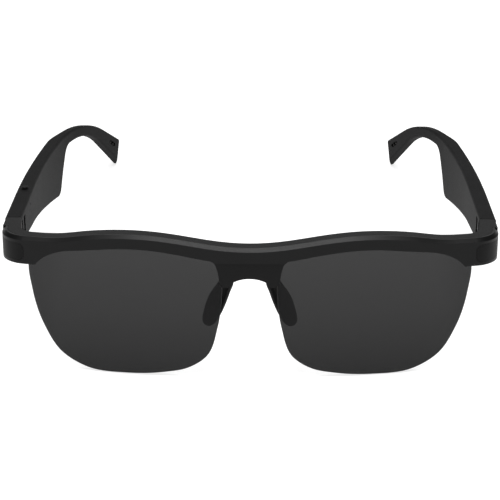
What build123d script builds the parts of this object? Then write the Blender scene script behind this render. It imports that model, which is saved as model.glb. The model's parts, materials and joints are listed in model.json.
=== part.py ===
"""Smart glasses: semi-rimless sunglasses with a loudspeaker and a battery in each temple.

Every piece is modelled in the worn attitude: X across the face with the wearer's left at +X,
Y from the brow back to the temple tips, Z up, and the temples' top faces at Z = 0. Pieces are
drawn on the left side and mirrored to the right. At the end all of them are tilted together
until lenses and temple tips rest on one table, and set down with the origin on the table
below the middle of the whole object.
"""
import os
from math import asin, atan2, cos, radians, sin, sqrt, tan

from build123d import *

os.makedirs("parts", exist_ok=True)

# ---------------------------------------------------------------- driving dimensions, mm
half_width = 74.0  # middle of the nose to the outside of an end piece
wrap_radius = 300.0  # plan curve of the brow
corner_radius = 9.0  # plan radius where the brow turns into the end piece
brow_depth = 5.2  # front to back of the whole brow
end_wall = 4.6  # thickness of an end piece at its back
end_flare = 0.14  # it thickens inward by this for every millimetre towards the brow
cover_thickness = 1.6  # brow cover, in front of the frame
gap = 0.12  # parting gap round covers that are glued in
fit = 0.05  # clearance round a piece held in a pocket
end_piece_back = 25.0  # where the front ends and a temple begins
end_piece_drop = 8.4  # height of an end piece
side_seam_y = 17.5  # where the brow cover ends on the side
cover_chamfer = 1.0  # bright chamfer on the brow cover's top edge
region_back = 40.0  # plan regions of the front run past its back

lens_radius = 297.5  # sphere of a lens' front face
lens_thickness = 1.8
lens_offset = 3.96  # front of the lens behind the brow's front, at the lens' middle
lens_tilt = 6.0  # pantoscopic tilt, degrees
lens_middle = -22.0  # height of the lens' middle
lens_nose_x, lens_outer_x = 8.1, 65.6

bridge_front, bridge_thickness = 0.5, 1.8  # plate between the lenses, a little set back
bridge_top = -5.45
tongue_thickness = 1.5  # bracket behind the frame that carries the nose pads
bridge_screw_xs, bridge_screw_z = (-4.5, 4.5), -3.6
bridge_screw_bite = 2.4
pad_arm_radius = 0.9
pad_thickness = 2.2
pad_splay = radians(37)
pad_sections = [  # middle of each level of the pad, and its length front to back
    (6.5, 8.8, -12.9, 2.8),
    (6.8, 9.1, -14.2, 5.6),
    (8.1, 9.7, -17.0, 6.8),
    (9.66, 10.4, -20.5, 8.2),
    (11.12, 11.0, -24.5, 7.6),
    (12.45, 11.6, -28.2, 5.2),
    (12.8, 11.8, -29.3, 2.6),
]
pad_arm_points = [(6.0, 5.8, -9.0), (6.5, 8.6, -12.4), (7.7, 9.5, -16.2)]  # arm that holds a pad

pin_x, pin_y = 71.3, 31.3  # hinge axis
pin_radius = 0.6
knuckle_radius = 1.6
leaf_thickness = 1.2
leaf_top, leaf_bottom = -2.2, -7.4
eye_gap = 0.1
front_eye_top, front_eye_bottom = -3.7, -5.9
front_leaf_start, temple_leaf_end = 18.0, 44.0
screw_top, screw_bottom = -2.3, -7.5
leaf_middle = (leaf_top + leaf_bottom) / 2
leaf_screw_ys = (38.0, 41.6)
leaf_screw_radius = 0.5
leaf_screw_bite = 0.8
leaf_low_x, leaf_high_x = pin_x - leaf_thickness / 2, pin_x + leaf_thickness / 2
corner_notch = 0.7  # lets the temple's front corner swing past the end piece
screw_head_radius, screw_head_height = 1.1, 0.8

seam = 0.3  # gap between end piece and temple
temple_front = end_piece_back + seam
temple_round = 0.8  # rounding along a temple's edges
inner_wall = 1.3  # temple shell on the head side
cover_wall = 1.1  # outer cover of a temple
cover_inset = 0.9  # the outer cover sits this far inside the temple's outline
cavity_inset = 1.5  # top and bottom walls of a temple
cavity_front, cavity_back = 34.5, 153.6
cover_front = 35.0
hook_angle = 19.5  # how far the hook turns towards the head, degrees
plan_sides = {  # x of the straight front stretch, y of the gentle bend, corner at the hook
    "head": (69.5, 82.6, (65.75, 113.15)),
    "outer": (74.5, 74.4, (71.15, 107.5)),
}
plan_rounds = {"head": [360, 75], "outer": [540, 30]}  # radii of those two bends
runs_end = 162.0  # plan runs pass the tip, and the side view cuts them
tip_bevel = [(51.4, 153.8), (52.8, 160.2), (40, 160.2), (40, 153.8)]  # off the tip's head side
tip_bevel_z, tip_bevel_lean = -21.0, 0.3  # height of that outline, and how far it leans back
cover_back = 155.2

button_x, button_y = 72.05, 52.4
button_radius = 1.1
button_flange_radius = 1.2
button_proud = 0.8
button_travel = 0.35

hole_radius = 0.5  # microphone and light openings
hole_y = 46.0
microphone_z, light_z = -2.9, -5.3

battery_size = (22.0, 8.2, 1.7)
battery_y, battery_z = 72.0, -6.4
board_size = (11.0, 4.8, 0.8)
board_y, board_z = 53.0, -6.7
speaker_size = (13.0, 9.5, 1.7)
speaker_y, speaker_z = 93.5, -10.4
grille_x, grille_y, belly_z = 70.26, 94.0, -18.05  # on the underside of the belly
grille_length, grille_width, grille_thickness = 9.0, 1.3, 0.5
vent_radius = 0.3

port_y, port_z, port_length, port_width = 149.8, -14.4, 5.4, 1.3
port_slope = 30.5  # the charging port lies along the hook's top edge, degrees
port_depth = 0.6
contact_radius, contact_pitch = 0.4, 2.4

finished = []


def keep(solid, label):
    """Name a finished piece and put it with the others."""
    solid.label = label
    finished.append(solid)


def keep_pair(solid, label):
    """Keep a left-hand piece, and its mirror image across the nose as the right-hand one."""
    keep(solid, f"{label}_left")
    with BuildPart() as other:
        mirror(solid, about=Plane.YZ)
    keep(other.part, f"{label}_right")


# ---------------------------------------------------------------- outlines that pieces share
def front_y(x):
    """How far back the brow's front face lies at x."""
    return wrap_radius - sqrt(wrap_radius**2 - x**2)


def front_region(depth):
    """Plan of everything that lies more than depth behind the front's outer surface."""
    side = half_width - depth
    side_front = (side, front_y(side) + depth)
    with BuildSketch() as region:
        with BuildLine():
            ThreePointArc((-side, side_front[1]), (0, depth), side_front)
            Polyline(side_front, (side, region_back), (-side, region_back), (-side, side_front[1]))
        make_face()
        corners = [v for v in region.vertices() if v.Y < end_piece_back]
        fillet(corners, corner_radius - 0.7 * depth)
    return region.sketch


def head_region():
    """Plan of the space behind brow and end pieces, which widens towards the back."""
    side_back = half_width - end_wall + end_flare * (region_back - end_piece_back)
    side = side_back - end_flare * region_back * 2 / 3
    side_front = (side, front_y(side) + brow_depth)
    with BuildSketch() as region:
        with BuildLine():
            ThreePointArc((-side, side_front[1]), (0, brow_depth), side_front)
            Polyline(side_front, (side_back, region_back), (-side_back, region_back), (-side, side_front[1]))
        make_face()
        corners = [v for v in region.vertices() if v.Y < end_piece_back]
        fillet(corners, 4.5)
    return region.sketch


def brow_outline():
    """Front view of brow and end pieces in the XZ plane, one half, from the nose outward."""
    with BuildSketch(Plane.XZ) as outline:
        with BuildLine():
            top = Spline(
                [(0, -0.8), (12, 0.1), (20.5, 1.4), (34, 2.5), (49, 1.4), (62, 0)],
                tangents=[(1, 0), (1, 0)],
            )
            Polyline(top @ 1, (80, 0), (80, -end_piece_drop), (63.4, -end_piece_drop))
            arch = Spline(
                [(63.4, -end_piece_drop), (61.2, -6.2), (55.7, -3.7), (49.7, -2.9), (36.5, -1.7),
                 (29, -1.9), (20.3, -3.05), (15.5, -3.95), (11.2, -4.7)],
            )
            Polyline(arch @ 1, (10.4, -5.35), (0, -5.35), top @ 0)
        make_face()
        mirror(about=Plane.YZ)
    return outline.sketch


def lens_top(grow=0.0):
    """Upper edge of a lens, hidden in the frame's groove, from the nose side outward."""
    heights = [(9.0, -2.9), (20.3, -0.6), (36.5, 0.7), (49.7, -0.6), (60, -3.2)]
    curve = Spline([(x, z + grow) for x, z in heights])
    Polyline((lens_nose_x - grow, -15.1), (lens_nose_x - grow, -3.6 + grow), curve @ 0)
    return Polyline(curve @ 1, (lens_outer_x + grow, -5.6 + grow), (lens_outer_x + grow, -7.5))


def lens_shell(grow=0.0):
    """Thin spherical shell that a lens is cut from, thicker by grow on both faces."""
    tilt = radians(lens_tilt)
    centre = (0, lens_offset + lens_radius * cos(tilt), lens_middle + lens_radius * sin(tilt))
    with BuildPart() as shell:
        with Locations(centre):
            Sphere(lens_radius + grow)
            Sphere(lens_radius - lens_thickness - grow, mode=Mode.SUBTRACT)
    return shell.part


# ---------------------------------------------------------------- front: frame and brow cover
with BuildPart() as brow_solid:
    extrude(front_region(0), amount=20, both=True)
    extrude(head_region(), amount=20, both=True, mode=Mode.SUBTRACT)
    extrude(brow_outline(), amount=-end_piece_back, mode=Mode.INTERSECT)


def cover_zone(outer, inner, back):
    """Skin of the front between two depths, from the front back to where the cover ends."""
    with BuildPart() as zone:
        extrude(front_region(outer), amount=20, both=True)
        extrude(front_region(inner), amount=20, both=True, mode=Mode.SUBTRACT)
        with BuildSketch(Plane.XZ.offset(region_back)):
            Rectangle(4 * half_width, 60)
        extrude(amount=-(region_back + back), mode=Mode.INTERSECT)
    return zone.part


def corner_plate(grow=0.0):
    """Rounded plate let into the outer corner of the brow cover, grown sideways by grow."""
    low, high = -7.5, -2.0
    start_x, end_y = 66.7, 16.0
    with BuildPart() as plate:
        extrude(front_region(-grow), amount=20, both=True)
        extrude(front_region(0.9 + grow / 2), amount=20, both=True, mode=Mode.SUBTRACT)
        with BuildSketch(Plane.XY.offset(low - grow)):
            with Locations((start_x - grow, 0)):
                Rectangle(20, end_y + grow, align=Align.MIN)
        extrude(amount=high - low + 2 * grow, mode=Mode.INTERSECT)
        sides = plate.faces().filter_by(Axis.Z, reverse=True)
        ends = [sides.sort_by(Axis.X)[0], sides.sort_by(Axis.Y)[-1]]
        corners = [e for end in ends for e in end.edges() if abs(e.tangent_at(0.5).Z) < 0.1]
        fillet(corners, 2.0)
    return plate.part


with BuildPart() as brow_cover:
    add(brow_solid.part)
    add(cover_zone(0, cover_thickness, side_seam_y), mode=Mode.INTERSECT)
    outline_wire = front_region(0).wire()
    top_front = [
        e
        for e in brow_cover.edges()
        if (e @ 0.5).Z > -1 and outline_wire.distance_to(Vector((e @ 0.5).X, (e @ 0.5).Y, 0)) < 0.05
    ]
    chamfer(top_front, cover_chamfer)
    add(corner_plate(gap / 2), mode=Mode.SUBTRACT)
    mirror(corner_plate(gap / 2), about=Plane.YZ, mode=Mode.SUBTRACT)
keep(brow_cover.part, "brow_cover")
keep_pair(corner_plate(), "corner_plate")

with BuildPart() as lens:
    with BuildSketch(Plane.XZ):
        with BuildLine():
            outer_side = lens_top()
            Spline(
                [outer_side @ 1, (65.1, -17.6), (62.1, -29.5), (57, -38.6), (49.8, -43.2),
                 (36.9, -44.6), (25.9, -43.7), (18.6, -41.8), (13.1, -37.8), (9.4, -27.2),
                 (lens_nose_x, -15.1)],
            )
        make_face()
    extrude(amount=-region_back)
    add(lens_shell(), mode=Mode.INTERSECT)
keep_pair(lens.part, "lens")

with BuildPart() as lens_groove:
    with BuildSketch(Plane.XZ):
        with BuildLine():
            outer_side = lens_top(fit)
            Polyline(outer_side @ 1, (lens_outer_x + fit, -15.1), (lens_nose_x - fit, -15.1))
        make_face()
    extrude(amount=-region_back)
    add(lens_shell(fit), mode=Mode.INTERSECT)

# The hinge leaf in the end piece: a plate moulded into the wall, with one eye round the pin.
def leaf_plate(start, end, grow=0.0):
    """Flat hinge plate beside the pin, between two depths."""
    with BuildPart() as plate:
        with BuildSketch(Plane.XY.offset(leaf_bottom - grow)):
            with Locations((leaf_low_x - grow, start - grow)):
                Rectangle(leaf_thickness + 2 * grow, end - start + 2 * grow, align=Align.MIN)
        extrude(amount=leaf_top - leaf_bottom + 2 * grow)
    return plate.part


def eye(low, high, radius=knuckle_radius):
    """Round hinge eye on the pin's axis, between two heights."""
    with BuildPart() as ring:
        with BuildSketch(Plane.XY.offset(low)):
            with Locations((pin_x, pin_y)):
                Circle(radius)
        extrude(amount=high - low)
    return ring.part


with BuildPart() as hinge_front_leaf:
    add(leaf_plate(front_leaf_start, end_piece_back - fit))
    add(eye(front_eye_bottom, front_eye_top))
    with BuildSketch(Plane.XY.offset(front_eye_bottom)):
        with Locations((leaf_low_x, end_piece_back - 1)):
            Rectangle(leaf_thickness, pin_y - end_piece_back + 1, align=Align.MIN)
    extrude(amount=front_eye_top - front_eye_bottom)
    add(eye(leaf_bottom, leaf_top, pin_radius + fit), mode=Mode.SUBTRACT)
keep_pair(hinge_front_leaf.part, "hinge_front_leaf")

with BuildPart() as hinge_temple_leaf:
    add(leaf_plate(pin_y, temple_leaf_end))
    add(eye(leaf_bottom, leaf_top))
    add(eye(front_eye_bottom - eye_gap, front_eye_top + eye_gap, knuckle_radius + 1), mode=Mode.SUBTRACT)
    add(eye(leaf_bottom, leaf_top, pin_radius + fit), mode=Mode.SUBTRACT)
    with Locations(*[Plane((pin_x, y, leaf_middle), z_dir=(1, 0, 0)) for y in leaf_screw_ys]):
        Hole(leaf_screw_radius + fit)
keep_pair(hinge_temple_leaf.part, "hinge_temple_leaf")

with BuildPart() as hinge_screw:
    add(eye(screw_bottom, screw_top, pin_radius))
    add(eye(screw_bottom - screw_head_height, screw_bottom, screw_head_radius))
    with BuildSketch(Plane.XY.offset(screw_bottom - screw_head_height)):
        with Locations((pin_x, pin_y)):
            Rectangle(0.35, 1.6)
    extrude(amount=0.35, mode=Mode.SUBTRACT)
keep_pair(hinge_screw.part, "hinge_screw")

with BuildPart() as front_frame:
    add(brow_solid.part)
    add(cover_zone(-1, cover_thickness + gap, side_seam_y + gap), mode=Mode.SUBTRACT)
    for pocket in (lens_groove.part, leaf_plate(front_leaf_start, end_piece_back + 1, fit)):
        add(pocket, mode=Mode.SUBTRACT)
        mirror(pocket, about=Plane.YZ, mode=Mode.SUBTRACT)
    for x in bridge_screw_xs:
        with Locations(Plane((x, brow_depth, bridge_screw_z), z_dir=(0, -1, 0))):
            Cylinder(pin_radius + fit, 2 * bridge_screw_bite, mode=Mode.SUBTRACT)
keep(front_frame.part, "front_frame")

# ---------------------------------------------------------------- nose bridge and pads
bridge_back = brow_depth + 0.1
tongue_back = bridge_back + tongue_thickness
with BuildPart() as nose_bridge:
    with BuildSketch(Plane.XZ.offset(-bridge_front)) as plate_outline:
        with BuildLine():
            side = Line((0, bridge_top), (10.3, bridge_top))
            flank = Spline([side @ 1, (9.75, -6.6), (9.3, -8.3), (8.65, -11.5)])
            lobe = ThreePointArc(flank @ 1, (7.0, -13.0), (4.9, -11.4))
            arch = ThreePointArc(lobe @ 1, (2.6, -10.5), (0, -10.2))
            Line(arch @ 1, side @ 0)
        make_face()
        mirror(about=Plane.YZ)
    extrude(amount=-bridge_thickness)
    with BuildSketch(Plane.XZ.offset(-bridge_front)):
        add(plate_outline.sketch)
        with Locations((0, -11)):
            Rectangle(15.4, 12, mode=Mode.INTERSECT)
    extrude(amount=-(tongue_back - bridge_front))
    with BuildSketch(Plane.XZ.offset(-bridge_back)):
        with Locations((0, -6.0)):
            RectangleRounded(15.4, 8.0, 1.5)
    extrude(amount=-tongue_thickness)
    for x in bridge_screw_xs:
        with Locations(Plane((x, tongue_back, bridge_screw_z), z_dir=(0, 1, 0))):
            Cylinder(pin_radius + fit, 3 * tongue_thickness, mode=Mode.SUBTRACT)
    for side in (-1, 1):
        with BuildLine() as arm:
            ThreePointArc(*[(side * x, y, z) for x, y, z in pad_arm_points])
        with BuildSketch(Plane(arm.line @ 0, z_dir=arm.line % 0)):
            Circle(pad_arm_radius)
        sweep(path=arm.line)
keep(nose_bridge.part, "nose_bridge")

with BuildPart() as bridge_screws:
    for x in bridge_screw_xs:
        with Locations(Plane((x, tongue_back + fit, bridge_screw_z), z_dir=(0, 1, 0))):
            Cylinder(1.0, 0.6, align=(Align.CENTER, Align.CENTER, Align.MIN))
            Cylinder(pin_radius, 3.5, align=(Align.CENTER, Align.CENTER, Align.MAX))
            with Locations((0, 0, 0.6)):
                Box(1.4, 0.3, 0.5, mode=Mode.SUBTRACT)
keep(bridge_screws.part, "bridge_screws")

# A nose pad is a soft blade that widens and splays outward towards its lower back.
with BuildPart() as nose_pad:
    for x, y, z, length in pad_sections:
        with BuildSketch(Plane((x, y, z), x_dir=(sin(pad_splay), cos(pad_splay), 0))):
            SlotOverall(length, pad_thickness if length > pad_thickness * 2 else 1.4)
    loft()
    with BuildLine() as arm:
        ThreePointArc(*pad_arm_points)
    with BuildSketch(Plane(arm.line @ 0, z_dir=arm.line % 0)):
        Circle(pad_arm_radius + fit)
    sweep(path=arm.line, mode=Mode.SUBTRACT)
keep_pair(nose_pad.part, "nose_pad")


# ---------------------------------------------------------------- temples
def side_outline(inset=0.0):
    """Side view of a temple in the YZ plane: long body, belly, arch over the ear and hook."""
    corners = [
        (temple_front, 0), (131.2, 0), (158.8, -16.2), (159.4, -26.7), (132.1, -4.2),
        (113.2, -4.2), (103.5, -19.6), (58.0, -12.2), (temple_front, -8.9),
    ]
    rounds = [0, 52, 1.6, 1.6, 33, 6, 4.5, 120, 0]
    with BuildSketch(Plane.YZ) as outline:
        with BuildLine():
            FilletPolyline(*corners, radius=rounds, close=True)
        make_face()
        if inset:
            offset(amount=-inset)
    return outline.sketch


def plan_run(side, shift=0.0):
    """Plan corners of a temple's head side or outer side, front to back, moved outward."""
    face_x, bend_y, (turn_x, turn_y) = plan_sides[side]
    end_x = turn_x - (runs_end - turn_y) * tan(radians(hook_angle))
    corners = [(face_x, 20), (face_x, bend_y), (turn_x, turn_y), (end_x, runs_end)]
    return [(x + shift, y) for x, y in corners]


def temple_layer(near, far, inset=0.0, front=temple_front, back=runs_end):
    """Slice of a temple between two (side, shift) runs, its side view pulled in by inset."""
    near_rounds, far_rounds = plan_rounds[near[0]], plan_rounds[far[0]]
    with BuildPart() as layer:
        extrude(side_outline(inset), amount=100)
        with BuildSketch():
            with BuildLine():
                corners = plan_run(*near) + plan_run(*far)[::-1]
                rounds = [0, *near_rounds, 0, 0, *far_rounds[::-1], 0]
                FilletPolyline(*corners, radius=rounds, close=True)
            make_face()
        extrude(amount=40, both=True, mode=Mode.INTERSECT)
        with Locations((0, front, -40)):
            Box(100, back - front, 60, align=Align.MIN, mode=Mode.INTERSECT)
    return layer.part


with BuildPart() as temple_body:
    add(temple_layer(("head", 0), ("outer", 0)))
    long_edges = temple_body.edges().filter_by(lambda e: (e @ 0.5).Y > temple_front + 0.1)
    fillet(long_edges, temple_round)
    with BuildSketch(Plane.XY.offset(tip_bevel_z)):
        with BuildLine():
            Polyline(*tip_bevel, close=True)
        make_face()
    extrude(amount=20, dir=(0, tip_bevel_lean, 1), both=True, mode=Mode.SUBTRACT)

cavity = temple_layer(
    ("head", inner_wall), ("outer", -cover_wall), cavity_inset, cavity_front, cavity_back
)
cover_recess = temple_layer(
    ("outer", -cover_wall - gap), ("outer", 5), cover_inset - gap, cover_front - gap, cover_back + gap
)


def head_wall(y, z, lift=0.0):
    """Plane on the cavity's head-side wall: x runs back along it, z points outward."""
    face_x, bend_y, (turn_x, turn_y) = plan_sides["head"]
    bend_radius = plan_rounds["head"][0]
    bend_start = bend_y - bend_radius * tan(atan2(face_x - turn_x, turn_y - bend_y) / 2)
    turned = asin(max(0.0, y - bend_start) / bend_radius)
    x = face_x - bend_radius * (1 - cos(turned)) + inner_wall + lift
    return Plane((x, y, z), x_dir=(-sin(turned), cos(turned), 0), z_dir=(cos(turned), sin(turned), 0))


def hook_face(y, z):
    """Plane on the hook's head-side face, with x down along the hook's top edge."""
    turn_x, turn_y = plan_sides["head"][2]
    turned, slope = radians(hook_angle), radians(port_slope)
    x = turn_x - (y - turn_y) * tan(turned)
    along = (-sin(turned) * cos(slope), cos(turned) * cos(slope), -sin(slope))
    return Plane((x, y, z), x_dir=along, z_dir=(cos(turned), sin(turned), 0))


def belly_plane(depth=0.0):
    """Plane on the underside of the belly, x back along it and z down, depth inside."""
    slope, turned = radians(9.4), radians(5.5)
    origin = (grille_x, grille_y, belly_z)
    along = (-sin(turned), cos(turned) * cos(slope), -cos(turned) * sin(slope))
    return Plane(origin, x_dir=along, z_dir=(0, -sin(slope), -cos(slope))).offset(-depth)


def boxed(plane, size):
    """Flat block standing on a plane."""
    with BuildPart() as block:
        with Locations(plane):
            Box(*size, align=(Align.CENTER, Align.CENTER, Align.MIN))
    return block.part


def temple_shell(controls):
    """Moulded temple, hollow under its outer cover; controls adds the button's holes."""
    with BuildPart() as shell:
        add(temple_body.part)
        add(cavity, mode=Mode.SUBTRACT)
        add(cover_recess, mode=Mode.SUBTRACT)
        add(leaf_plate(pin_y, temple_leaf_end, fit), mode=Mode.SUBTRACT)
        with BuildSketch(Plane.XY.offset(leaf_bottom - 0.5)):
            with Locations((pin_x + knuckle_radius + 0.2, temple_front - 1)):
                Rectangle(20, pin_y + knuckle_radius + 1.3 - temple_front, align=(Align.MAX, Align.MIN))
        extrude(amount=leaf_top - leaf_bottom + 1, mode=Mode.SUBTRACT)
        with BuildSketch():
            with Locations((plan_sides["head"][0], temple_front)):
                Rectangle(2 * corner_notch, 2 * corner_notch, rotation=45)
        extrude(amount=20, both=True, mode=Mode.SUBTRACT)
        add(eye(-20, leaf_bottom, screw_head_radius + 0.1), mode=Mode.SUBTRACT)
        with Locations(*[Plane((leaf_low_x, y, leaf_middle), z_dir=(1, 0, 0)) for y in leaf_screw_ys]):
            Cylinder(leaf_screw_radius + fit, 2 * leaf_screw_bite, mode=Mode.SUBTRACT)
        with BuildSketch(hook_face(port_y, port_z)):
            SlotOverall(port_length + 2 * fit, port_width + 2 * fit)
        extrude(amount=inner_wall + 0.5, both=True, mode=Mode.SUBTRACT)
        with BuildSketch(belly_plane()):
            SlotOverall(grille_length + 2 * fit, grille_width + 2 * fit)
        extrude(amount=2.6, both=True, mode=Mode.SUBTRACT)
        if controls:
            with Locations((button_x, button_y, 0)):
                Cylinder(button_radius + fit, 2.5 * cavity_inset, mode=Mode.SUBTRACT)
            for z in (microphone_z, light_z):
                with Locations(head_wall(hole_y, z)):
                    Cylinder(hole_radius, 2.5 * inner_wall, mode=Mode.SUBTRACT)
    return shell.part


shell_left = temple_shell(controls=False)
keep(shell_left, "temple_shell_left")
with BuildPart() as shell_right:
    mirror(temple_shell(controls=True), about=Plane.YZ)
keep(shell_right.part, "temple_shell_right")

with BuildPart() as temple_cover:
    add(temple_layer(("outer", -cover_wall), ("outer", 0), cover_inset, cover_front, cover_back))
keep_pair(temple_cover.part, "temple_cover")

with BuildPart() as leaf_screws:
    with Locations(*[Plane((leaf_high_x + fit, y, leaf_middle), z_dir=(1, 0, 0)) for y in leaf_screw_ys]):
        Cylinder(0.9, 0.5, align=(Align.CENTER, Align.CENTER, Align.MIN))
        Cylinder(leaf_screw_radius, leaf_thickness + leaf_screw_bite - 0.1,
                 align=(Align.CENTER, Align.CENTER, Align.MAX))
keep_pair(leaf_screws.part, "leaf_screws")

# ---------------------------------------------------------------- what the temples hold
keep_pair(boxed(head_wall(battery_y, battery_z, 0.1), battery_size), "battery")
keep_pair(boxed(head_wall(board_y, board_z, 0.1), board_size), "circuit_board")

with BuildPart() as speaker:
    with BuildSketch(head_wall(speaker_y, speaker_z, 0.1)):
        RectangleRounded(speaker_size[0], speaker_size[1], 2.5)
    extrude(amount=speaker_size[2])
    with BuildSketch(head_wall(speaker_y, speaker_z, 0.1 + speaker_size[2])):
        SlotOverall(8.5, 5.5)
    extrude(amount=-0.3, mode=Mode.SUBTRACT)
keep_pair(speaker.part, "speaker")

with BuildPart() as speaker_grille:
    with BuildSketch(belly_plane(0.2)):
        SlotOverall(grille_length, grille_width)
        with GridLocations(1.3, 1, 6, 1):
            Circle(vent_radius, mode=Mode.SUBTRACT)
    extrude(amount=-grille_thickness)
keep_pair(speaker_grille.part, "speaker_grille")

with BuildPart() as charge_socket:
    socket_wall = inner_wall * cos(radians(hook_angle)) + fit
    with BuildSketch(hook_face(port_y, port_z).offset(socket_wall)):
        RectangleRounded(port_length + 1.2, port_width + 1.0, 0.6)
    extrude(amount=0.6)
    with BuildSketch(hook_face(port_y, port_z).offset(socket_wall)):
        SlotOverall(port_length, port_width)
    extrude(amount=-(socket_wall - port_depth))
    with BuildSketch(hook_face(port_y, port_z)):
        with GridLocations(contact_pitch, 1, 2, 1):
            Circle(contact_radius + fit)
    extrude(amount=5, mode=Mode.SUBTRACT)
keep_pair(charge_socket.part, "charge_socket")

with BuildPart() as charge_contacts:
    with BuildSketch(hook_face(port_y, port_z).offset(port_depth - 0.3)):
        with GridLocations(contact_pitch, 1, 2, 1):
            Circle(contact_radius)
    extrude(amount=socket_wall + 0.6 - port_depth + 0.3)
keep_pair(charge_contacts.part, "charge_contacts")

charge_flex = temple_layer(
    ("head", inner_wall + 0.15), ("head", inner_wall + 0.35), cavity_inset + 0.15, 111, 144.5
)
keep_pair(charge_flex, "charge_flex")


# ---------------------------------------------------------------- controls, right temple only
def keep_right(solid, label):
    """Keep only the right-hand mirror image of a piece drawn on the left."""
    with BuildPart() as other:
        mirror(solid, about=Plane.YZ)
    keep(other.part, label)


with BuildPart() as power_button:
    flange_top = -cavity_inset - fit
    with Locations((button_x, button_y, flange_top)):
        Cylinder(button_flange_radius, 0.5, align=(Align.CENTER, Align.CENTER, Align.MAX))
        Cylinder(button_radius, button_proud - flange_top,
                 align=(Align.CENTER, Align.CENTER, Align.MIN))
    fillet(power_button.edges().sort_by(Axis.Z)[-1], 0.25)
keep_right(power_button.part, "power_button")

with BuildPart() as button_switch:
    plunger_top = flange_top - 0.5 - button_travel - 0.05
    with Locations((button_x, button_y, plunger_top)):
        Cylinder(0.5, 0.4, align=(Align.CENTER, Align.CENTER, Align.MAX))
    with Locations((button_x, button_y, plunger_top - 0.35)):
        Box(2.2, 3.0, 0.9, align=(Align.CENTER, Align.CENTER, Align.MAX))
keep_right(button_switch.part, "button_switch")

keep_right(boxed(head_wall(hole_y, microphone_z, fit), (2.2, 1.6, 0.9)), "microphone")

with BuildPart() as status_light:
    with Locations(head_wall(hole_y, light_z, fit)):
        Box(1.8, 1.6, 0.8, align=(Align.CENTER, Align.CENTER, Align.MIN))
        Cylinder(hole_radius - fit, inner_wall, align=(Align.CENTER, Align.CENTER, Align.MAX))
keep_right(status_light.part, "status_light")

# ---------------------------------------------------------------- set down on a table
def lowest(piece, tilt):
    """Lowest height of a worn piece when the glasses lean back by tilt degrees."""
    return piece.rotate(Axis.X, -tilt).bounding_box().min.Z


low_tilt, high_tilt = 6.0, 12.0  # the glasses rest where lenses and temple tips are level
for _ in range(16):
    rest_tilt = (low_tilt + high_tilt) / 2
    if lowest(lens.part, rest_tilt) < lowest(shell_left, rest_tilt):
        low_tilt = rest_tilt
    else:
        high_tilt = rest_tilt

leaning = Compound([piece.rotate(Axis.X, -rest_tilt) for piece in finished]).bounding_box()
middle = (leaning.min + leaning.max) / 2
on_table = Location((-middle.X, -middle.Y, -leaning.min.Z)) * Location((0, 0, 0), (-rest_tilt, 0, 0))
print(f"rest tilt {rest_tilt:.3f} degrees, moved by {on_table.position}, size {leaning.size}")

for piece in finished:
    placed = piece.moved(on_table)
    placed.label = piece.label
    export_step(placed, f"parts/{piece.label}.step")
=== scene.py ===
# %% [markdown]
# # Smart glasses, finished in Blender
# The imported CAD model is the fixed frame: every piece below is put where that frame says.
# We load it, measure it, and then work through the object one piece or one finish at a
# time. Shapes are worked out in millimetres in the *worn* attitude, because that is how
# glasses are drawn; one function turns them into metres on the table.

# %% Load the frame
import json
import math

import bpy
import numpy as np
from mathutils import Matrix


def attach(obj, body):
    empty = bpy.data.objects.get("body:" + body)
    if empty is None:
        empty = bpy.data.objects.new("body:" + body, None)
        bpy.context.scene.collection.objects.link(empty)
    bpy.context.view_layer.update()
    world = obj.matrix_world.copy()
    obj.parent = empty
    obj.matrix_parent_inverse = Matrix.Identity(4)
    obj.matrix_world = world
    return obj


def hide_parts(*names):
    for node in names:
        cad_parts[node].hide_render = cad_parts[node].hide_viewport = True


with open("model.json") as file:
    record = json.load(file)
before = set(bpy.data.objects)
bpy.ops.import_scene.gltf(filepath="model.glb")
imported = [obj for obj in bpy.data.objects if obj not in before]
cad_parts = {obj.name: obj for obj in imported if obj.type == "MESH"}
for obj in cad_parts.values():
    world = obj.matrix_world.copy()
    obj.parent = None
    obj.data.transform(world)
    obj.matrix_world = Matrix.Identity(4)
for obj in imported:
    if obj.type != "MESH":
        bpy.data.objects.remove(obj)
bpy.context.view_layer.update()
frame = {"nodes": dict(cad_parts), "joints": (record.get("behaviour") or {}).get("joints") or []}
nodes = frame["nodes"]

# %% [markdown]
# ## From the drawing board to the table
# Glasses are drawn with level temples, but they rest on a table leaning back on their
# temple tips. The left hinge's axis is upright when worn, so its direction on the table
# gives the lean, and its position gives the shift. Only the hinge's place when worn is
# repeated here.

# %% Worn attitude to table
left_hinge = next(j for j in frame["joints"] if j["name"] == "left_temple_fold")
LEAN = math.atan2(left_hinge["axis"][1], left_hinge["axis"][2])
HINGE_WORN = np.array([71.3, 31.3, -4.8])
TURN = np.array([
    [1, 0, 0],
    [0, math.cos(LEAN), math.sin(LEAN)],
    [0, -math.sin(LEAN), math.cos(LEAN)],
])
SHIFT = np.array(left_hinge["pos_m"]) * 1000 - TURN @ HINGE_WORN


def to_table(worn):
    """Worn millimetres to table metres: turn by the lean about X, then shift."""
    return (np.asarray(worn, float) @ TURN.T + SHIFT) / 1000


print(f"lean {math.degrees(LEAN):.2f} degrees, worn origin at {to_table([0, 0, 0]).round(4)} m")

# %% [markdown]
# ## Camera
# A long lens from half a metre away, looking down at the bridge. The long lens keeps the
# front nearly free of perspective, while the temples still run together behind it. The
# angles are measured from the worn attitude, so the lean is added to the elevation.

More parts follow.
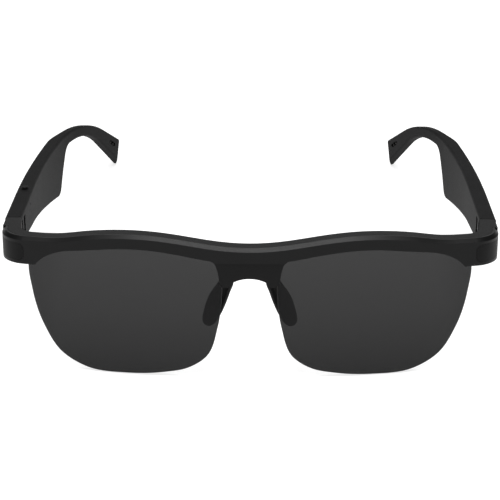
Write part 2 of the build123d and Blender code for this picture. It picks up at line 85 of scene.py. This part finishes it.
# %% Camera
AIM = to_table([0, 16.0, -6.9])
CAMERA_DISTANCE = 0.5092
ELEVATION = math.radians(20.5) + LEAN
AZIMUTH = math.radians(0.53)
camera_data = bpy.data.cameras.new("studio_camera")
camera_data.sensor_width = 36.0
camera_data.lens = 122.4
camera_data.clip_start = 0.01
camera = bpy.data.objects.new("studio_camera", camera_data)
bpy.context.scene.collection.objects.link(camera)
camera.location = AIM + CAMERA_DISTANCE * np.array([
    math.cos(ELEVATION) * math.sin(AZIMUTH),
    -math.cos(ELEVATION) * math.cos(AZIMUTH),
    math.sin(ELEVATION),
])
camera.rotation_euler = (math.pi / 2 - ELEVATION, 0, AZIMUTH)
bpy.context.scene.camera = camera
print("camera at", [round(v, 3) for v in camera.location])

# %% [markdown]
# ## Floor
# A seamless white table. Paper white alone renders grey wherever the object shades it, so
# the floor also glows by itself, which keeps the shadows faint, as on a light table. The
# price is that undersides near the floor come out lighter than they would on paper.

# %% Floor
FLOOR_GLOW = 0.76
floor_mesh = bpy.data.meshes.new("floor")
FLOOR_HALF = 12
turns = ((-1, -1), (1, -1), (1, 1), (-1, 1))
floor_corners = [(FLOOR_HALF * x, FLOOR_HALF * y, 0) for x, y in turns]
floor_mesh.from_pydata(floor_corners, [], [(0, 1, 2, 3)])
floor = bpy.data.objects.new("floor", floor_mesh)
bpy.context.scene.collection.objects.link(floor)
floor_paint = bpy.data.materials.new("floor_paint")
floor_paint.use_nodes = True
floor_shader = floor_paint.node_tree.nodes["Principled BSDF"]
floor_shader.inputs["Base Color"].default_value = (0.5, 0.5, 0.5, 1)
floor_shader.inputs["Roughness"].default_value = 0.9
floor_shader.inputs["Specular IOR Level"].default_value = 0.0
floor_shader.inputs["Emission Color"].default_value = (1, 1, 1, 1)
floor_shader.inputs["Emission Strength"].default_value = FLOOR_GLOW
floor_mesh.materials.append(floor_paint)
print("floor glows at", FLOOR_GLOW)

# %% [markdown]
# ## Light
# Black plastic shows only what it mirrors, so the lamps are placed by what each face looks
# at. The chamfer along the brow looks almost straight up and mirrors the overhead box, which
# is narrow so that the shine fades towards the temples. The top faces look low over the
# back and mirror the rear panel. The front faces look at the floor and stay darkest.

# %% Lamps and world


def soft_box(name, width, depth, place, aim, watts):
    """A rectangular lamp at a place, turned so that it faces a point."""
    lamp = bpy.data.lights.new(name, "AREA")
    lamp.shape = "RECTANGLE"
    lamp.size, lamp.size_y = width, depth
    lamp.energy = watts
    holder = bpy.data.objects.new(name, lamp)
    facing = np.array(aim, float) - place
    flat = math.hypot(facing[0], facing[1])
    holder.rotation_euler = (math.atan2(flat, -facing[2]), 0, math.atan2(-facing[0], facing[1]))
    holder.location = place
    bpy.context.scene.collection.objects.link(holder)
    return holder


BROW_TOP, OBJECT_MIDDLE = (0, -0.06, 0.03), (0, 0, 0.03)
OVERHEAD_WATTS, REAR_WATTS, WORLD_STRENGTH = 8.5, 1.3, 0.17
soft_box("overhead_box", 0.42, 0.8, (0, -0.20, 0.80), BROW_TOP, OVERHEAD_WATTS)
soft_box("rear_panel", 1.6, 0.5, (0, 1.0, 0.35), OBJECT_MIDDLE, REAR_WATTS)
world = bpy.data.worlds.new("studio")
world.use_nodes = True
world.node_tree.nodes["Background"].inputs["Color"].default_value = (1, 1, 1, 1)
world.node_tree.nodes["Background"].inputs["Strength"].default_value = WORLD_STRENGTH
bpy.context.scene.world = world
bpy.context.scene.view_settings.view_transform = "Standard"

# %% [markdown]
# ## A kit for small node networks
# Every finish is a Principled shader with a few texture nodes in front of it. Patterns are
# given in millimetres of the real surface. Object coordinates are metres on the table for
# every piece here, so one millimetre is always 1000 divided by the size of the pattern.

# %% Node helpers


def new_finish(name, colour, roughness, **sockets):
    """A Principled material whose uniform numbers sit on the shader's own sockets."""
    finish = bpy.data.materials.new(name)
    finish.use_nodes = True
    shader = finish.node_tree.nodes["Principled BSDF"]
    shader.inputs["Base Color"].default_value = (*colour, 1)
    shader.inputs["Roughness"].default_value = roughness
    for socket, value in sockets.items():
        shader.inputs[socket.replace("_", " ")].default_value = value
    return finish


def noise_mm(finish, size_mm, detail=2.0, stretch=(1, 1, 1)):
    """Noise with features of about size_mm, longer by 1/stretch along each axis."""
    tree = finish.node_tree
    place = tree.nodes.new("ShaderNodeTexCoord")
    scale = tree.nodes.new("ShaderNodeMapping")
    scale.inputs["Scale"].default_value = [1000 / size_mm * s for s in stretch]
    noise = tree.nodes.new("ShaderNodeTexNoise")
    noise.inputs["Scale"].default_value = 1.0
    noise.inputs["Detail"].default_value = detail
    tree.links.new(place.outputs["Object"], scale.inputs["Vector"])
    tree.links.new(scale.outputs["Vector"], noise.inputs["Vector"])
    return noise.outputs["Fac"]


def vary(finish, pattern, socket, low, high):
    """Drive a socket from a pattern: a number, or a colour when low and high are colours."""
    tree = finish.node_tree
    shader = tree.nodes["Principled BSDF"]
    if isinstance(low, tuple):
        ramp = tree.nodes.new("ShaderNodeValToRGB")
        ramp.color_ramp.elements[0].position, ramp.color_ramp.elements[1].position = 0.3, 0.7
        ramp.color_ramp.elements[0].color = (*low, 1)
        ramp.color_ramp.elements[1].color = (*high, 1)
        tree.links.new(pattern, ramp.inputs["Fac"])
        tree.links.new(ramp.outputs["Color"], shader.inputs[socket])
    else:
        span = tree.nodes.new("ShaderNodeMapRange")
        span.inputs["From Min"].default_value, span.inputs["From Max"].default_value = 0.25, 0.75
        span.inputs["To Min"].default_value, span.inputs["To Max"].default_value = low, high
        tree.links.new(pattern, span.inputs["Value"])
        tree.links.new(span.outputs["Result"], shader.inputs[socket])


def relief(finish, pattern, height_mm, strength):
    """Raise and lower the surface by a pattern, height_mm from lowest to highest."""
    tree = finish.node_tree
    bump = tree.nodes.new("ShaderNodeBump")
    bump.inputs["Distance"].default_value = height_mm / 1000
    bump.inputs["Strength"].default_value = strength
    tree.links.new(pattern, bump.inputs["Height"])
    tree.links.new(bump.outputs["Normal"], tree.nodes["Principled BSDF"].inputs["Normal"])


def dress(finish, *names):
    """Give CAD nodes a finish; their shape stays as it is."""
    for name in names:
        materials = nodes[name].data.materials
        materials.clear()
        materials.append(finish)


SIDES = ("left", "right")
print("helpers ready for", len(nodes), "nodes")

# %% [markdown]
# ## Moulded black plastic
# Frame, brow cover and temples are injection-moulded nylon with a spark-eroded skin: an
# even, very fine grain that makes the black matte. The grain could be painted on as
# speckles, but then it wouldn't catch light; as a bump with a matching spread of roughness
# it does. A slow second noise keeps large faces from being one flat grey. The corner plates
# are separate mouldings and a little duller than the brow cover round them.

# %% Frame, cover and temple plastic


def moulded_black(name, grey, roughness, gloss):
    """Matte black: grain noise (0.3 mm) lifts and roughens, slow noise (7 mm) shifts the grey."""
    finish = new_finish(name, (grey,) * 3, roughness, Specular_IOR_Level=gloss)
    grain = noise_mm(finish, 0.30, detail=3)
    cloud = noise_mm(finish, 7.0)
    vary(finish, cloud, "Base Color", (grey * 0.8,) * 3, (grey * 1.2, grey * 1.2, grey * 1.25))
    vary(finish, grain, "Roughness", roughness - 0.07, roughness + 0.07)
    relief(finish, grain, 0.02, 0.35)
    return finish


frame_black = moulded_black("frame_black", 0.002, 0.52, 0.18)
cover_black = moulded_black("cover_black", 0.002, 0.42, 0.20)
plate_black = moulded_black("plate_black", 0.002, 0.56, 0.17)
temple_black = moulded_black("temple_black", 0.005, 0.72, 0.14)
dress(frame_black, "front_frame", "nose_bridge")
dress(cover_black, "brow_cover")
dress(plate_black, *[f"corner_plate_{side}" for side in SIDES])
dress(temple_black, *[f"temple_{part}_{side}" for part in ("shell", "cover") for side in SIDES])
print("moulded finishes:", frame_black.name, cover_black.name, temple_black.name)

# %% [markdown]
# ## Smooth curves from a few points
# A lens rim is cut along a smooth curve, and a pad's outline is one too. Blender's own
# curves would have to be made into meshes first, so we interpolate with numpy instead: a
# cubic through every point whose slope there is the mean slope of its two neighbours.

# %% Curve helper


def flowing(points, count, closed):
    """Count points on a smooth curve through the given ones.

    Between two points P and Q with slopes m and n the curve is the cubic Hermite blend
    (2t^3-3t^2+1) P + (t^3-2t^2+t) h m + (3t^2-2t^3) Q + (t^3-t^2) h n, t from 0 to 1.
    """
    points = np.asarray(points, float)
    if closed:
        points = np.concatenate([points[-2:], points, points[:3]])
    reach = np.concatenate([[0], np.cumsum(np.linalg.norm(np.diff(points, axis=0), axis=1))])
    slopes = np.gradient(points, reach, axis=0)
    first, last = (reach[2], reach[-3]) if closed else (reach[0], reach[-1])
    at = np.linspace(first, last, count, endpoint=not closed)
    k = np.clip(np.searchsorted(reach, at, side="right") - 1, 0, len(points) - 2)
    h = (reach[k + 1] - reach[k])[:, None]
    t = (at - reach[k])[:, None] / h
    return ((2 * t**3 - 3 * t**2 + 1) * points[k] + (t**3 - 2 * t**2 + t) * h * slopes[k]
            + (3 * t**2 - 2 * t**3) * points[k + 1] + (t**3 - t**2) * h * slopes[k + 1])


print("test curve:", flowing([(0, 0), (1, 1), (2, 0)], 5, closed=False).round(2).tolist())

# %% [markdown]
# ## A closed skin from rings
# Lenses and pads are both closed skins that can be laid out as a stack of rings with a
# point at each end. One function joins neighbouring rings with quads and each end ring to
# its point with triangles, then measures the signed volume: if it is negative the skin is
# inside out and every face is turned round.

# %% Ring skin helper


def ring_skin(name, rings, start, end, mirrored):
    """Mesh object from rings (count, around, 3) in worn mm, closed by the points start and end.

    Quad (i, j) joins ring i at j and j+1 with ring i+1. The volume is the sum of
    a . (b x c) / 6 over the triangles. Mirrored pieces have their X negated first.
    """
    count, around = rings.shape[:2]
    spots = np.concatenate([rings.reshape(-1, 3), [start, end]])
    if mirrored:
        spots = spots * [-1, 1, 1]
    i, j = np.meshgrid(np.arange(count - 1), np.arange(around), indexing="ij")
    low, high, nxt = i * around, (i + 1) * around, (j + 1) % around
    quads = np.stack([low + j, low + nxt, high + nxt, high + j], axis=-1).reshape(-1, 4)
    j = np.arange(around)
    nxt = (j + 1) % around
    final = (count - 1) * around
    near = np.stack([nxt, j, np.full(around, count * around)], axis=-1)
    far = np.stack([final + j, final + nxt, np.full(around, count * around + 1)], axis=-1)
    triangles = np.concatenate([quads[:, [0, 1, 2]], quads[:, [0, 2, 3]], near, far])
    a, b, c = (spots[triangles[:, n]] for n in range(3))
    if np.einsum("ij,ij->i", a, np.cross(b, c)).sum() < 0:
        quads, near, far = quads[:, ::-1], near[:, ::-1], far[:, ::-1]
    mesh = bpy.data.meshes.new(name)
    mesh.from_pydata(to_table(spots).tolist(), [], quads.tolist() + near.tolist() + far.tolist())
    mesh.polygons.foreach_set("use_smooth", np.ones(len(mesh.polygons), bool))
    mesh.update()
    piece = bpy.data.objects.new(name, mesh)
    bpy.context.scene.collection.objects.link(piece)
    return piece


print("ring skins close with two end points")

# %% [markdown]
# ## Lenses
# Each lens is a slice of a hollow sphere, 1.8 mm thick, cut to the rim's outline, with its
# edge broken by a fine polished bevel. That bevel is what draws the thin light line round
# the lower rim. The rings run from the middle of the front out to the rim, over the edge
# and back in behind. Black glass would be wrong: the tint lets a few percent through, so
# the shader is a smooth dark coat that is slightly see-through. Towards the lower rim it
# lets a touch less through, which is painted shade: the lens is drawn darker low down.

# %% Lens shape
LENS_RADIUS, LENS_THICKNESS = 297.5, 1.8
LENS_CENTRE = np.array([0, 299.83, 9.10])
LENS_RIM = [  # X and Z of the outline, from the nose side over the top and round the bottom
    (8.1, -15.1), (8.05, -9.0), (8.15, -4.2), (8.6, -3.0), (14.0, -1.6), (20.3, -0.6), (28.5, 0.3),
    (36.5, 0.6), (43.5, 0.2), (49.7, -0.6), (60.0, -3.2), (64.7, -5.2), (65.5, -7.5),
    (65.1, -17.6), (62.1, -29.5), (57, -38.6), (49.8, -43.2), (36.9, -44.55), (25.9, -43.65),
    (18.6, -41.8), (13.1, -37.8), (9.4, -27.2),
]
EDGE_BEVEL = 0.18


def lens_face(x, z, depth):
    """Y of the sphere at X and Z: centre Y minus the root of (R - depth)^2 - x^2 - (z - zc)^2."""
    return LENS_CENTRE[1] - np.sqrt((LENS_RADIUS - depth)**2 - x**2 - (z - LENS_CENTRE[2])**2)


def lens_skin(name, mirrored):
    """Rings shrink from the rim to the middle, front first, then the edge, then the back."""
    rim = flowing(LENS_RIM, 320, closed=True)
    middle = np.array([36.9, -21.0])
    out = rim - middle
    spread = np.linalg.norm(out, axis=1, keepdims=True)
    shares = np.sin(np.linspace(0.06, 1, 22) * math.pi / 2)
    inset = (spread - EDGE_BEVEL) / spread
    flat = [middle + out * inset * share for share in shares]
    depths = [0.0] * len(flat)
    flat += [middle + out * 0.999, middle + out * 0.999]
    depths += [EDGE_BEVEL, LENS_THICKNESS - EDGE_BEVEL]
    flat += [middle + out * inset * share for share in shares[::-1]]
    depths += [LENS_THICKNESS] * len(shares)
    flat, depths = np.array(flat), np.array(depths)[:, None]
    y = lens_face(flat[..., 0], flat[..., 1], depths)
    rings = np.stack([flat[..., 0], y, flat[..., 1]], axis=-1)
    ends = [(middle[0], lens_face(*middle, depth), middle[1]) for depth in (0, LENS_THICKNESS)]
    return ring_skin(name, rings, *ends, mirrored)


def height_fade(finish, socket, low, high, top_m):
    """Blend a socket from low on the table to high at the height top_m."""
    tree = finish.node_tree
    place = tree.nodes.new("ShaderNodeTexCoord")
    split = tree.nodes.new("ShaderNodeSeparateXYZ")
    span = tree.nodes.new("ShaderNodeMapRange")
    span.inputs["From Max"].default_value = top_m
    span.inputs["To Min"].default_value, span.inputs["To Max"].default_value = low, high
    tree.links.new(place.outputs["Object"], split.inputs["Vector"])
    tree.links.new(split.outputs["Z"], span.inputs["Value"])
    tree.links.new(span.outputs["Result"], tree.nodes["Principled BSDF"].inputs[socket])


lens_tint = new_finish("lens_tint", (0.002, 0.002, 0.0022), 0.06, Specular_IOR_Level=0.15)
vary(lens_tint, noise_mm(lens_tint, 14.0), "Roughness", 0.04, 0.09)
# Painted shade: alpha goes from 0.875 at the table to 0.825 at 40 mm, so the lens is drawn darker
# towards its lower rim.
height_fade(lens_tint, "Alpha", 0.875, 0.825, 0.040)
for side in SIDES:
    lens = lens_skin(f"lens_glass_{side}", side == "right")
    lens.data.materials.append(lens_tint)
    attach(lens, "front")
    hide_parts(f"lens_{side}")
print("lens triangles:", sum(len(p.vertices) - 2 for p in lens.data.polygons))

# %% [markdown]
# ## Nose pads
# The pads are soft rubber blades pushed onto the bridge's arms. They widen to the middle,
# narrow again to a round tip and lean outward. A box with rounded corners would look stiff,
# so each level is a superellipse that is nearly flat on its faces and round at its ends, and
# the levels shrink to a point at top and bottom like a moulded lip.

# %% Nose pad shape
PAD_SPLAY = math.radians(37)
PAD_THICKNESS = 2.15
PAD_LEVELS = [  # middle X, Y, Z of each level, and its length front to back
    (6.5, 8.8, -12.9, 3.4), (6.8, 9.1, -14.2, 5.6), (8.1, 9.7, -17.0, 6.8),
    (9.66, 10.4, -20.5, 8.1), (11.12, 11.0, -24.5, 7.6), (12.45, 11.6, -28.2, 5.3),
    (12.8, 11.8, -29.2, 3.4),
]
PAD_LIP = 0.25  # the blade's ends round off over this many millimetres
PAD_FULL_LENGTH = 5.0  # levels shorter than this are thinner too, down to 0.6


def soft_corner(wave):
    """A sine or cosine raised to 0.8, its sign kept, which squares the ellipse a little."""
    return np.sign(wave) * np.abs(wave) ** 0.8


def pad_skin(name, mirrored):
    """Level rings of a superellipse, by soft_corner: along = L/2 s(cos), across = t/2 s(sin).

    Along runs at the splay angle in plan and across at right angles to it; the first and
    last rings shrink by 0.9 and 0.6 and step outward in Z by the lip.
    """
    levels = flowing(PAD_LEVELS, 40, closed=False)
    shrink = np.ones(len(levels))
    caps = np.array([0.6, 0.9])
    top = np.repeat(levels[:1], 2, axis=0) + [[0, 0, PAD_LIP, 0], [0, 0, PAD_LIP / 2, 0]]
    bottom = np.repeat(levels[-1:], 2, axis=0) - [[0, 0, PAD_LIP / 2, 0], [0, 0, PAD_LIP, 0]]
    levels = np.concatenate([top, levels, bottom])
    shrink = np.concatenate([caps, shrink, caps[::-1]])[:, None]
    angle = np.linspace(0, 2 * math.pi, 64, endpoint=False)[None, :]
    along = levels[:, 3:4] / 2 * shrink * soft_corner(np.cos(angle))
    slim = np.clip(levels[:, 3:4] / PAD_FULL_LENGTH, 0.6, 1)
    across = PAD_THICKNESS / 2 * slim * shrink * soft_corner(np.sin(angle))
    x = levels[:, 0:1] + along * math.sin(PAD_SPLAY) + across * math.cos(PAD_SPLAY)
    y = levels[:, 1:2] + along * math.cos(PAD_SPLAY) - across * math.sin(PAD_SPLAY)
    z = np.broadcast_to(levels[:, 2:3], x.shape)
    rings = np.stack([x, y, z], axis=-1)
    tip = np.array([0, 0, PAD_LIP * 0.15])
    return ring_skin(name, rings, levels[0, :3] + tip, levels[-1, :3] - tip, mirrored)


pad_rubber = new_finish("pad_rubber", (0.006, 0.006, 0.006), 0.62, Specular_IOR_Level=0.25)
skin_grain = noise_mm(pad_rubber, 0.6, detail=4)
vary(pad_rubber, skin_grain, "Roughness", 0.52, 0.74)
vary(pad_rubber, noise_mm(pad_rubber, 4.0), "Base Color", (0.004,) * 3, (0.009,) * 3)
relief(pad_rubber, skin_grain, 0.03, 0.3)
for side in SIDES:
    pad = pad_skin(f"nose_pad_soft_{side}", side == "right")
    pad.data.materials.append(pad_rubber)
    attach(pad, "front")
    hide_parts(f"nose_pad_{side}")
print("pad rings made for", SIDES)

# %% [markdown]
# ## Steel, gold and mesh
# Hinge leaves and screws are blackened steel, turned or stamped, so a fine noise stretched
# along one axis stands for the tool marks. Their near-black colour is partly that blackened
# finish and partly painted shade, so that the hinge slot reads black. The grille is a bare
# pressed steel strip with six round vents. Real charging contacts are gold plate. Deep in
# their slot they read as black, so they are given an almost black metal with only a trace
# of gold: that black is painted shade.

# %% Metals


def metal(name, colour, roughness, streak=(1, 1, 1), marks_mm=0.25):
    """Metal with tool marks: stretched noise spreads the roughness and lifts the surface."""
    finish = new_finish(name, colour, roughness, Metallic=1.0)
    marks = noise_mm(finish, marks_mm, detail=3, stretch=streak)
    vary(finish, marks, "Roughness", roughness - 0.08, roughness + 0.12)
    vary(finish, noise_mm(finish, 2.5), "Base Color", tuple(c * 0.85 for c in colour), colour)
    relief(finish, marks, 0.01, 0.25)
    return finish


# Painted shade: the steel's near-black colour is partly its blackened finish and partly the shade
# in the hinge slot.
steel = metal("blackened_steel_and_painted_shade", (0.012, 0.012, 0.013), 0.50, streak=(1, 1, 0.1))
grille_steel = metal("grille_steel", (0.16, 0.16, 0.165), 0.42, marks_mm=0.15)
# Painted shade: the contacts' near-black colour stands in for the shade deep in their slot, and
# only a trace of gold is left.
gold_with_painted_shade = metal("contact_gold", (0.005, 0.004, 0.002), 0.50, marks_mm=0.4)
for side in SIDES:
    dress(steel, f"hinge_front_leaf_{side}", f"hinge_temple_leaf_{side}", f"hinge_screw_{side}",
          f"leaf_screws_{side}")
    dress(grille_steel, f"speaker_grille_{side}")
    dress(gold_with_painted_shade, f"charge_contacts_{side}")
dress(steel, "bridge_screws")
print("metals:", steel.name, grille_steel.name, gold_with_painted_shade.name)

# %% [markdown]
# ## Button and charging socket
# The button is the same black as the temple but a little smoother, because fingers polish it.
# The socket is a duller insert set deep in the hook, and reads as almost pure black.

# %% Button and socket black
button_black = new_finish("button_black", (0.004,) * 3, 0.56, Specular_IOR_Level=0.12)
finger_wear = noise_mm(button_black, 0.8, detail=3)
vary(button_black, finger_wear, "Roughness", 0.50, 0.64)
vary(button_black, noise_mm(button_black, 3.0), "Base Color", (0.003,) * 3, (0.005,) * 3)
dress(button_black, "power_button")

socket_black = new_finish("socket_black", (0.0015,) * 3, 0.7, Specular_IOR_Level=0.04)
mould_marks = noise_mm(socket_black, 0.5)
vary(socket_black, mould_marks, "Roughness", 0.6, 0.8)
vary(socket_black, noise_mm(socket_black, 2.0), "Base Color", (0.0015,) * 3, (0.003,) * 3)
dress(socket_black, *[f"charge_socket_{side}" for side in SIDES])
print("button and socket dressed")

# %% [markdown]
# ## What the temples hold
# The cell, board, speaker, flex and switch sit behind the outer covers and show only when a
# cover is taken off, but a library part is taken apart, so each gets its real finish. The
# cell is wrapped in crinkled foil, the board is green mask over copper, the flex is amber
# film with copper tracks along it.

# %% Cell foil, board and flex
cell_foil = new_finish("cell_foil", (0.55, 0.56, 0.58), 0.32, Metallic=1.0)
crinkle = noise_mm(cell_foil, 3.0, detail=5)
vary(cell_foil, crinkle, "Roughness", 0.22, 0.46)
vary(cell_foil, noise_mm(cell_foil, 6.0), "Base Color", (0.47, 0.48, 0.50), (0.60, 0.61, 0.62))
relief(cell_foil, crinkle, 0.12, 0.5)
dress(cell_foil, *[f"battery_{side}" for side in SIDES])

board_green = new_finish("board_green", (0.012, 0.075, 0.03), 0.3, Coat_Weight=0.4)
tracks = noise_mm(board_green, 1.4, stretch=(1, 0.2, 1))
vary(board_green, tracks, "Base Color", (0.008, 0.055, 0.022), (0.025, 0.13, 0.045))
relief(board_green, tracks, 0.03, 0.4)
dress(board_green, *[f"circuit_board_{side}" for side in SIDES])

flex_amber = new_finish("flex_amber", (0.55, 0.24, 0.04), 0.28)
copper_lines = noise_mm(flex_amber, 0.7, stretch=(1, 0.05, 1))
vary(flex_amber, copper_lines, "Base Color", (0.42, 0.16, 0.03), (0.68, 0.34, 0.08))
vary(flex_amber, noise_mm(flex_amber, 2.0), "Roughness", 0.2, 0.36)
dress(flex_amber, *[f"charge_flex_{side}" for side in SIDES])
print("foil, board and flex dressed")

# %% [markdown]
# ## Speaker, switch, microphone and light
# The speaker's body is black moulded plastic round its cone, the switch is grey, the
# microphone is a tiny steel can. The light is a smoked pin behind a hole in the temple's head
# side: switched off, it looks as dark as the microphone's hole beside it.

# %% Small parts
speaker_black = new_finish("speaker_black", (0.015, 0.015, 0.016), 0.48)
cone_grain = noise_mm(speaker_black, 0.5, detail=3)
vary(speaker_black, cone_grain, "Roughness", 0.38, 0.6)
vary(speaker_black, noise_mm(speaker_black, 5.0), "Base Color", (0.011,) * 3, (0.020,) * 3)
relief(speaker_black, cone_grain, 0.02, 0.3)
dress(speaker_black, *[f"speaker_{side}" for side in SIDES])

switch_grey = new_finish("switch_grey", (0.18, 0.18, 0.19), 0.45)
vary(switch_grey, noise_mm(switch_grey, 0.6, detail=3), "Roughness", 0.35, 0.55)
vary(switch_grey, noise_mm(switch_grey, 2.0), "Base Color", (0.15, 0.15, 0.16), (0.21, 0.21, 0.22))
dress(switch_grey, "button_switch")
dress(metal("microphone_can", (0.5, 0.5, 0.5), 0.3), "microphone")

light_smoked = new_finish("light_smoked", (0.006, 0.006, 0.006), 0.45, Specular_IOR_Level=0.15)
vary(light_smoked, noise_mm(light_smoked, 0.3), "Roughness", 0.38, 0.55)
vary(light_smoked, noise_mm(light_smoked, 1.0), "Base Color", (0.004,) * 3, (0.008,) * 3)
dress(light_smoked, "status_light")
undressed = [name for name, node in nodes.items() if not node.data.materials]
print("nodes without a finish:", undressed)
